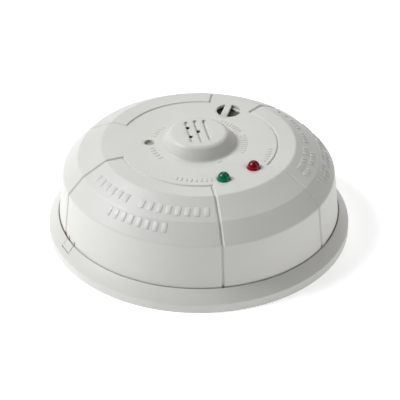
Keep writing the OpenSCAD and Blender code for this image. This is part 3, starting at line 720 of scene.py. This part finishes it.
class DETECTOR_OT_cover(bpy.types.Operator):
    """Makes the front cover with its dome, grooves, holes and guard bar."""
    bl_idname = "detector.cover"
    bl_label = "Front cover"

    def execute(self, context):
        c = in_mm(context.scene.detector_cover)
        tint = context.scene.detector_finish
        crown = DOME_Z - c.dome_h
        under = crown - c.wall_t
        cover = new_piece("front_cover_moulding", *cover_skin(c))
        deep = crown - c.wall_t - 1.0
        # posts and the button's guide, joined to the inside
        hung = []
        for (r, d, turns), foot, head in ((BOSSES, 9.6, 31.0), (POSTS, BOARD_TOP, under + 0.8)):
            for deg in turns:
                hung.append(lathe([(0, foot), (d / 2, foot), (d / 2, head), (0, head)],
                                  *(heading(deg) * r), 32))
        hung.append(lathe([(0, under - 5), (3.5, under - 5), (3.5, under + 0.8),
                           (0, under + 0.8)], BUTTON[0], BUTTON[1], 40))
        carve(cover, merged(hung), "UNION")
        # screw holes in the posts
        bores = []
        for (r, _, turns), bore in (
                (BOSSES, [(0, 8.6), (1.5, 8.6), (1.5, 28.4), (0, 29.2)]),
                (POSTS, [(0, BOARD_TOP - 1), (1.25, BOARD_TOP - 1), (1.25, BOARD_TOP + 8),
                         (0, BOARD_TOP + 8.7)])):
            for deg in turns:
                bores.append(lathe(bore, *(heading(deg) * r), 24))
        # holes through the crown
        for spot in LENSES.values():
            bores.append(slot_solid(spot[0], spot[1], c.lens_hole_d, c.lens_hole_d,
                                    flared(deep, crown, 0.12), steps=24))
        bores.append(slot_solid(BUTTON[0], BUTTON[1], c.button_hole_d, c.button_hole_d,
                                flared(under - 6, crown, 0.2), steps=20))
        bores.append(slot_solid(PORT[0], PORT[1], c.port_d, c.port_d, (
            (deep, 0.9), (crown - 1.35, 0.9), (crown - 1.2, 0.0),
            *flared(deep, crown, 0.3)[1:]), steps=36))
        carve(cover, merged(bores))
        # the guard bar, sunk a little below the crown, and a ribbed shelf on one side
        turn = math.radians(BAR_TURN)
        bar = slot_solid(PORT[0] + math.sin(turn) * BAR_OFF, PORT[1] - math.cos(turn) * BAR_OFF,
                         c.bar_w, c.port_d + 4.0,
                         ((crown - 1.4, -0.2), (crown - 1.2, 0.0), (crown - 0.3, 0.0),
                          (crown - 0.1, -0.12), (crown - 0.02, -0.4)), BAR_TURN - 90)
        carve(cover, bar, "UNION")
        out = heading(SHELF_TURN)
        for off, deep_by, high in ((SHELF_OFF + 1.5, 3.0, 1.75), (SHELF_OFF + 0.45, 0.9, 1.35)):
            spot = PORT[:2] + out * off
            carve(cover, block_solid(spot[0], spot[1], deep_by, 9.0, under + 0.02, crown - high,
                                     SHELF_TURN, 0.12), "UNION")
        # slots and gas holes in the dome
        slots, holes = [], []
        turn = math.radians(GAS_TURN)
        for i in (-1, 0, 1):
            x = i * c.slot_pitch
            long = c.slot_long - (0 if i == 0 else GAS_TRIM)
            slots.append(slot_solid(x * math.cos(turn) - GAS_SHIFT * math.sin(turn),
                                    x * math.sin(turn) + GAS_SHIFT * math.cos(turn),
                                    c.slot_w, long, (
                (DOME_Z - c.slot_deep, -0.4), (DOME_Z - c.slot_deep + 0.18, -0.12),
                (DOME_Z - c.slot_deep + 0.45, 0.0), (DOME_Z - 0.25, 0.0),
                (DOME_Z - 0.08, 0.09), (DOME_Z, 0.28), (DOME_Z + 1, 1.4)), GAS_TURN))
        carve(cover, merged(slots))
        for i, y in GAS_HOLES:
            x = i * c.slot_pitch
            thin = DOME_Z - c.slot_deep - 0.3
            holes.append(lathe([(0, under), (1.7, under), (1.7, thin), (c.hole_d / 2, thin),
                                (c.hole_d / 2, DOME_Z - 0.5), (0, DOME_Z - 0.5)],
                               x * math.cos(turn) - y * math.sin(turn),
                               x * math.sin(turn) + y * math.cos(turn), 20))
        carve(cover, merged(holes))
        # notches in the foot over the release tab
        carve(cover, merged([block_solid(*(heading(deg) * c.seam_r), 3.0, 0.75, SKIRT_Z - 1,
                                         high, deg) for deg, high in NOTCHES]))
        # painted brown shade on the cover's foot at the left and right, where it sits in the seam
        # under the lip
        white = moulded("cover_plastic_satin", tuple(tint.cover), 0.44,
                        seam_shade=lambda f, x, y, z: x.math("ABSOLUTE").ramp(0.055, 0.057)
                        * (1 - z.ramp(LIP_Z * MM - 0.0003, LIP_Z * MM))
                        * z.ramp(LIP_Z * MM - 0.003, LIP_Z * MM - 0.0015))
        dress(cover, white, "head", "cover_plastic", "front_cover")
        return {"FINISHED"}


# ---- Raised tablets in place of lettering ----

def tablet(origin, right, up, out, wide, tall, high):
    """A small raised block with rounded corners and a soft top edge."""
    rings = []
    for z, cut in ((-0.25, 0.0), (high * 0.55, 0.0), (high, 0.16)):
        flat = rounded_slot(1.0, 1.0, 0.0, 6)
        w, t = wide / 2 - cut, tall / 2 - cut
        corner = min(w, t, 0.45)
        flat = [(math.copysign(w - corner, x) + x * 2 * corner,
                 math.copysign(t - corner, y) + y * 2 * corner)
                for x, y in flat + np.array((1e-7, 1e-7))]
        rings.append([origin + right * x + up * y + out * z for x, y in flat])
    return rings_solid(rings)


def polar(deg):
    """Outward and sideways directions at an angle round the axis."""
    out = heading(deg)
    return np.array([*out, 0.0]), np.array([-out[1], out[0], 0.0])


def row_of_tablets(c, k, share, start, end, count, block, gaps=()):
    """A row round facet k from the foot, at a share of its height, between two angles.

    block is each tablet's width, length and height.
    """
    low, top = (np.array(p, float) for p in cover_corners(c)[k:k + 2])
    spot = low + (top - low) * share
    climb = unit(top - low)
    made = []
    for i, deg in enumerate(np.linspace(start, end, count)):
        if i in gaps:
            continue
        radial, right = polar(deg)
        up = radial * climb[0] + np.array([0, 0, climb[1]])
        out = np.cross(right, up)
        origin = radial * spot[0] + np.array([0, 0, spot[1]])
        if out @ radial + out[2] < 0:
            out = -out
        made.append(tablet(origin, right, up, out, *block))
    return made


class DETECTOR_OT_marks(bpy.types.Operator):
    """Makes rows of plain raised tablets where the moulding carries its markings."""
    bl_idname = "detector.marks"
    bl_label = "Raised marks"

    def execute(self, context):
        c = in_mm(context.scene.detector_cover)
        tint = context.scene.detector_finish
        large, small = (2.4, 4.2, 0.21), (1.3, 2.2, 0.3)
        made = []
        for k, share, start, end, count, block, gaps in (
                (2, 0.40, -152, -86, 15, large, (6,)), (1, 0.68, -133, -105, 8, large, ()),
                (2, 0.55, 6, 40, 13, small, (4, 9)), (2, 0.62, -22, -2, 9, small, (5,)),
                (2, 0.32, -23, -3, 9, small, (3,)), (1, 0.74, -20, 30, 19, small, (6, 13)),
                (1, 0.40, -16, 20, 15, small, (4, 10))):
            made += row_of_tablets(c, k, share, start, end, count, block, gaps)
        crown = DOME_Z - c.dome_h
        for r, start, end, count, wide, tall in (
                (30.6, -108, -80, 8, 1.1, 2.4), (31.6, -28, -10, 6, 1.1, 2.4),
                (20.2, -24, 16, 9, 1.0, 2.6), (20.0, 28, 60, 8, 1.0, 2.6),
                (20.6, 142, 165, 5, 1.0, 2.4), (21.0, -167, -143, 5, 1.0, 2.4),
                (18.2, -61, -60, 1, 2.2, 1.0)):
            for deg in np.linspace(start, end, count):
                radial, right = polar(deg)
                made.append(tablet(radial * r + np.array([0, 0, crown]), right, radial,
                                   np.array([0, 0, 1.0]), wide, tall, 0.2))
        marks = new_piece("cover_raised_marks", *merged(made))
        white = moulded("marks_plastic_satin", tuple(tint.cover), 0.44)
        dress(marks, white, "head", "cover_plastic", edge=40)
        return {"FINISHED"}


# ---- Mounting base and release tab ----

LUGS = (-90, 30, 150)  # angles of the head's lugs
TAB_TURN = -152.8  # angle of the release tab
WINDOW_W = 7.0  # width of the tab's window
PIVOT_W = 8.5  # length of the tab's pivot bore
PIVOT_BORE_R = 0.55
RAMP_R = 40.0  # where the tamper plunger rides
RAMP_TURN = -50


class DETECTOR_OT_base(bpy.types.Operator):
    """Makes the mounting base with its flange, ledges, slots, holes and tab window."""
    bl_idname = "detector.base"
    bl_label = "Mounting base"

    def execute(self, context):
        b = in_mm(context.scene.detector_base)
        tint = context.scene.detector_finish
        lip_r = BASE_R - b.flange_w
        skin = b.skin * math.hypot(b.flange_w, LIP_Z - b.rim_h) / b.flange_w

        def slope(r):
            return LIP_Z - (r - lip_r) * (LIP_Z - b.rim_h) / b.flange_w

        r1, r2 = lip_r + b.skin, BASE_R - b.skin
        outer = blended([(r2, 0), (BASE_R, 0), (BASE_R, b.rim_h), (lip_r, LIP_Z),
                         (lip_r, b.plate_t), (lip_r - 10, b.plate_t)],
                        (0, 0.35, b.rim_round, 0.3, 0.4, 0), 5)
        inner = [(b.wire_d / 2, b.plate_t - 0.25), (b.wire_d / 2, 0.25),
                 (b.wire_d / 2 + 0.25, 0.0)]
        hollow = [(r1, 0.0), (r1, slope(r1) - skin), (r2, slope(r2) - skin)]
        profile = [tuple(p) for p in outer] + [(b.wire_d / 2 + 0.25, b.plate_t)] + inner + hollow
        base = new_piece("mounting_base_moulding", *ring_lathe(profile, 256))
        # ledges that hold the head's lugs, each with an end stop
        ledges, stops = [], []
        for a in LUGS:
            ledges.append(sector_solid(lip_r - 2.7, lip_r + 0.4, 4.6, 6.4, a - 11, a + 9))
            stops.append(sector_solid(lip_r - 2.6, lip_r + 0.4, b.plate_t - 0.3, 5.0,
                                      a - 11, a - 8.4, 5))
        carve(base, merged(ledges), "UNION")
        carve(base, merged(stops), "UNION")
        # the ramp that works the tamper plunger
        run = RAMP_R * math.sin(math.radians(10))
        out = heading(RAMP_TURN)
        side = np.array([-out[1], out[0]])
        rings = []
        for across in (-2.5, 2.5):
            rings.append([(*(out * (RAMP_R + across) + side * s), z) for s, z in (
                (-run - 3, b.plate_t - 0.3), (-run - 3, b.plate_t + 1.8), (-run, b.plate_t + 1.8),
                (run, b.plate_t + 0.3), (run + 3, b.plate_t + 0.3), (run + 3, b.plate_t - 0.3))])
        carve(base, rings_solid(rings), "UNION")
        # screw slots and holes, each with a broken edge
        levels = ((-1.0, 0.9), (0.0, 0.25), (0.25, 0.0), (b.plate_t - 0.25, 0.0),
                  (b.plate_t, 0.25), (b.plate_t + 1.0, 0.9))
        holes = [slot_solid(x * b.slot_spacing / 2, 0, b.screw_d, b.slot_long, levels, 90)
                 for x in (-1, 1)]
        holes += [slot_solid(0, y * b.hole_spacing / 2, b.screw_d, b.screw_d, levels, steps=16)
                  for y in (-1, 1)]
        carve(base, merged(holes))
        # the window for the release tab
        out = heading(TAB_TURN)
        near, far = lip_r - 1.0, BASE_R - 1.7
        centre = out * (near + far) / 2
        window = block_solid(centre[0], centre[1], far - near, WINDOW_W, b.rim_h + 0.2,
                             LIP_Z + 3, TAB_TURN)
        carve(base, window)
        pivot_r = BASE_R - 2.5
        side = np.array([-out[1], out[0]])
        z = slope(pivot_r) - b.skin / 2
        rings = []
        for s in (-PIVOT_W / 2, PIVOT_W / 2):
            rings.append([(*(out * (pivot_r + PIVOT_BORE_R * math.cos(a)) + side * s),
                           z + PIVOT_BORE_R * math.sin(a))
                          for a in np.linspace(0, 2 * math.pi, 20, endpoint=False)])
        carve(base, rings_solid(rings))

        # painted brown shade on the inside of the lip at the left and right, in the seam round the
        # cover
        def lip_seam_shade(f, x, y, z):
            r = (x * x + y * y).math("SQRT")
            inside = 1 - r.ramp((lip_r + 0.05) * MM, (lip_r + 0.2) * MM)
            beside = x.math("ABSOLUTE").ramp((lip_r - 7.6) * MM, (lip_r - 5.6) * MM)
            return inside * beside * z.ramp((LIP_Z - 4) * MM, (LIP_Z - 3) * MM)

        plastic = moulded("base_plastic_satin", tuple(tint.base), 0.46, seam_shade=lip_seam_shade)
        dress(base, plastic, "base", "base_plastic", "mounting_base", edge=30)
        refinish("release_tab", plastic, 0.15)
        return {"FINISHED"}


# ---- Lenses, lights and button ----

class DETECTOR_OT_lenses(bpy.types.Operator):
    """Makes the green and the red indicator lens, and finishes the lights under them."""
    bl_idname = "detector.lenses"
    bl_label = "Indicator lenses"

    def execute(self, context):
        c = in_mm(context.scene.detector_cover)
        tint = context.scene.detector_finish
        crown = DOME_Z - c.dome_h
        under = crown - c.wall_t
        dome_r = 2.62
        centre = LENS_HIGH[2] - dome_r
        profile = [(0, LENS_LOW[2] + 1.2), (1.2, LENS_LOW[2] + 0.4), (2.0, LENS_LOW[2]),
                   (2.2, LENS_LOW[2] + 0.15), (2.2, under - 0.8), (3.9, under - 0.8),
                   (4.0, under - 0.7), (4.0, under - 0.1), (3.9, under), (2.95, under),
                   (2.98, crown + 0.1), (2.95, crown + 0.22), (2.85, crown + 0.38),
                   (2.72, crown + 0.6), (dome_r + 0.01, crown + 0.8)]
        profile += [(dome_r * math.cos(a), centre + dome_r * math.sin(a))
                    for a in np.linspace(0.05, math.pi / 2, 16)[:-1]] + [(0, LENS_HIGH[2])]
        for name, colour in (("green", tint.green), ("red", tint.red)):
            spot = LENSES[name]
            lens = new_piece(f"{name}_lens_moulding", *lathe(profile, spot[0], spot[1], 64))
            dress(lens, tinted(f"{name}_lens_clear", tuple(colour)), "head",
                  f"{name}_lens", f"{name}_lens", edge=50)
            light = tinted(f"{name}_light_epoxy", scaled(tuple(colour), 1.4))
            refinish(f"{name}_led", light, 0.05)
        refinish("led_leads", metal("leads_tinned", (0.75, 0.75, 0.73)), 0)
        refinish("test_button", moulded("button_plastic", tuple(tint.button), 0.5), 0.18)
        return {"FINISHED"}


# ---- Everything inside, from the frame's own shapes ----

class DETECTOR_OT_inside(bpy.types.Operator):
    """Finishes the board, the sensor, the horn and the small parts inside the head."""
    bl_idname = "detector.inside"
    bl_label = "Inner parts"

    def execute(self, context):
        tint = context.scene.detector_finish
        can = metal("can_nickel", (0.70, 0.69, 0.66), 0.3)
        gold = metal("contacts_gold", (0.83, 0.62, 0.26), 0.25)
        tin = metal("springs_tinned", (0.76, 0.75, 0.72), 0.3)
        black = moulded("switch_plastic_black", (0.03, 0.03, 0.032), 0.5)
        seal = foam("seal_foam_black", (0.03, 0.03, 0.03))
        for node, finish, edge in (
                ("circuit_board", fibreboard("board_solder_mask", tuple(tint.board)), 0.08),
                ("co_sensor", can, 0.25), ("sensor_pins", gold, 0),
                ("sensor_cap", moulded("sensor_cap_plastic", (0.045, 0.045, 0.042), 0.5), 0.25),
                ("sensor_gasket", seal, 0.2),
                ("horn_housing", moulded("horn_plastic_olive", tuple(tint.horn), 0.5), 0.3),
                ("horn_disc", gold, 0.05), ("horn_contacts", gold, 0),
                ("horn_ceramic", ceramic("horn_ceramic_fired", (0.78, 0.75, 0.66)), 0.05),
                ("test_switch", black, 0.15), ("tamper_switch", black, 0.15),
                ("microcontroller", moulded("chip_epoxy", (0.025, 0.025, 0.027), 0.55), 0.06),
                ("radio_shield", can, 0.2), ("crystal", can, 0.25),
                ("capacitors", moulded("capacitor_sleeve", (0.02, 0.025, 0.06), 0.3), 0.3),
                ("chip_parts", ceramic("chip_ceramic", (0.36, 0.25, 0.14)), 0.08),
                ("antenna", metal("antenna_copper", (0.78, 0.40, 0.20), 0.3), 0),
                ("board_screws", metal("board_screws_zinc", (0.66, 0.66, 0.62), 0.34), 0.08)):
            refinish(node, finish, edge)
        low, high = box_mm("horn_gasket")
        edge_r, ring_r = (high[0] - low[0]) / 2, (high[0] - low[0]) / 2 - 2.2
        cloth = [(0, -0.1), (3.4, -0.12), (ring_r, -0.2)]
        profile = ([(r, high[2] + z) for r, z in cloth] + [(ring_r, high[2]), (edge_r, high[2])]
                   + [(edge_r, low[2]), (ring_r, low[2])]
                   + [(r, high[2] + z - 0.25) for r, z in reversed(cloth)])
        seal = new_piece("horn_gasket_ring", *lathe(profile, PORT[0], PORT[1], 64))
        dress(seal, foam("seal_foam_olive", scaled(tuple(tint.horn), 0.5)), "head", "black_foam",
              "horn_gasket")
        for node in ("battery_contact_plus", "battery_contact_minus"):
            refinish(node, tin, 0)
        return {"FINISHED"}


class DETECTOR_OT_back(bpy.types.Operator):
    """Finishes the rear housing, the battery and its door, and what shows at the back."""
    bl_idname = "detector.back"
    bl_label = "Back of the head"

    def execute(self, context):
        tint = context.scene.detector_finish
        shell = moulded("housing_plastic_satin", tuple(tint.housing), 0.5)
        refinish("rear_housing", shell, 0.2)
        refinish("battery_door", shell, 0.2)
        refinish("door_pin", metal("door_pin_steel", (0.68, 0.68, 0.66), 0.25), 0.1)
        refinish("tamper_plunger", moulded("plunger_plastic", (0.72, 0.72, 0.69), 0.4), 0.1)
        refinish("cover_screws", metal("cover_screws_zinc", (0.66, 0.66, 0.62), 0.34), 0.1)
        refinish("battery", wrapped_cell("battery_sleeve", (0.02, 0.035, 0.09),
                                         (0.45, 0.33, 0.10)), 0.3)
        refinish("rating_label", label_film("label_film_blank"), 0)
        return {"FINISHED"}


# ---- Stage ----

CAMERA_AT = (0.00055, -0.6656, 0.4579)  # metres
CAMERA_TO = (0.00055, 0.0, 0.01246)
CAMERA_LENS = 160.3
FLOOR_HALF = 4.0  # metres
FLOOR_DROP = 0.02  # millimetres, so that it doesn't touch the base


def soft_light(name, where, wide, power, tone=(1.0, 1.0, 1.0)):
    """A round soft box that faces the detector."""
    data = bpy.data.lights.new(name, "AREA")
    data.shape = "DISK"
    data.size = wide
    data.energy = power
    data.color = tone
    lamp = bpy.data.objects.new(name, data)
    bpy.context.scene.collection.objects.link(lamp)
    lamp.location = where
    lamp.rotation_euler = (Vector((0, 0, 0.02)) - Vector(where)).to_track_quat("-Z", "Y").to_euler()
    return lamp


class DETECTOR_OT_stage(bpy.types.Operator):
    """Makes the floor, the soft studio light and the camera."""
    bl_idname = "detector.stage"
    bl_label = "Stage"

    def execute(self, context):
        scene = context.scene
        half = FLOOR_HALF / MM
        floor = new_piece("stage_floor", [(x * half, y * half, -FLOOR_DROP) for x, y in
                                          ((-1, -1), (1, -1), (1, 1), (-1, 1))], [(0, 1, 2, 3)])
        paper = Finish("stage_paper", Roughness=0.9, Specular_IOR_Level=0.1,
                       Emission_Color=(1.0, 1.0, 1.0, 1.0), Emission_Strength=0.55)
        tone = paper.noise(3.0, 2.0)
        paper.feed("Base Color", paper.mix(tone, (0.93, 0.93, 0.93), (0.95, 0.95, 0.95)))
        floor.data.materials.append(paper.material)
        world = bpy.data.worlds.new("studio")
        scene.world = world
        world.use_nodes = True
        sky = world.node_tree.nodes["Background"].inputs
        sky["Color"].default_value = (1, 1, 1, 1)
        sky["Strength"].default_value = 0.04
        # studio light: a key from the left, and weak fills from behind and from the right
        soft_light("key_left", (-0.95, 0.0, 1.03), 0.7, 18.7, (0.975, 0.988, 1.0))
        soft_light("back_fill", (0.0, 0.99, 0.99), 0.7, 4.2)
        soft_light("right_fill", (0.99, 0.0, 0.99), 0.7, 2.5)
        soft_light("right_low", (1.33, -0.4, 0.3), 0.5, 2.4)
        camera = bpy.data.objects.new("camera", bpy.data.cameras.new("camera"))
        scene.collection.objects.link(camera)
        camera.location = CAMERA_AT
        aim = Vector(CAMERA_TO) - Vector(CAMERA_AT)
        camera.rotation_euler = aim.to_track_quat("-Z", "Y").to_euler()
        camera.data.lens = CAMERA_LENS
        camera.data.sensor_width = 36.0
        camera.data.clip_start = 0.01
        scene.camera = camera
        scene.view_settings.view_transform = "Standard"
        return {"FINISHED"}


# ---- Panel and registration ----

STEPS = (DETECTOR_OT_cover, DETECTOR_OT_marks, DETECTOR_OT_base, DETECTOR_OT_lenses,
         DETECTOR_OT_inside, DETECTOR_OT_back, DETECTOR_OT_stage)
GROUPS = {"detector_cover": DetectorCover, "detector_base": DetectorBase,
          "detector_finish": DetectorFinish}


class DETECTOR_PT_panel(bpy.types.Panel):
    """Lists the detector's sizes, colours and steps."""
    bl_idname = "DETECTOR_PT_panel"
    bl_label = "Detector"
    bl_space_type = "VIEW_3D"
    bl_region_type = "UI"
    bl_category = "Detector"

    def draw(self, context):
        for name, group in GROUPS.items():
            box = self.layout.box()
            for key in group.__annotations__:
                box.prop(getattr(context.scene, name), key)
        for step in STEPS:
            self.layout.operator(step.bl_idname)


def register():
    for group in GROUPS.values():
        bpy.utils.register_class(group)
    for name, group in GROUPS.items():
        setattr(bpy.types.Scene, name, bpy.props.PointerProperty(type=group))
    for kind in (*STEPS, DETECTOR_PT_panel):
        bpy.utils.register_class(kind)


def unregister():
    for kind in reversed((*STEPS, DETECTOR_PT_panel)):
        bpy.utils.unregister_class(kind)
    for name in GROUPS:
        delattr(bpy.types.Scene, name)
    for group in reversed(list(GROUPS.values())):
        bpy.utils.unregister_class(group)


def main():
    register()
    bpy.ops.detector.stage()
    bpy.ops.detector.base()
    bpy.ops.detector.cover()
    bpy.ops.detector.marks()
    bpy.ops.detector.lenses()
    bpy.ops.detector.inside()
    bpy.ops.detector.back()


if __name__ == "__main__":
    main()
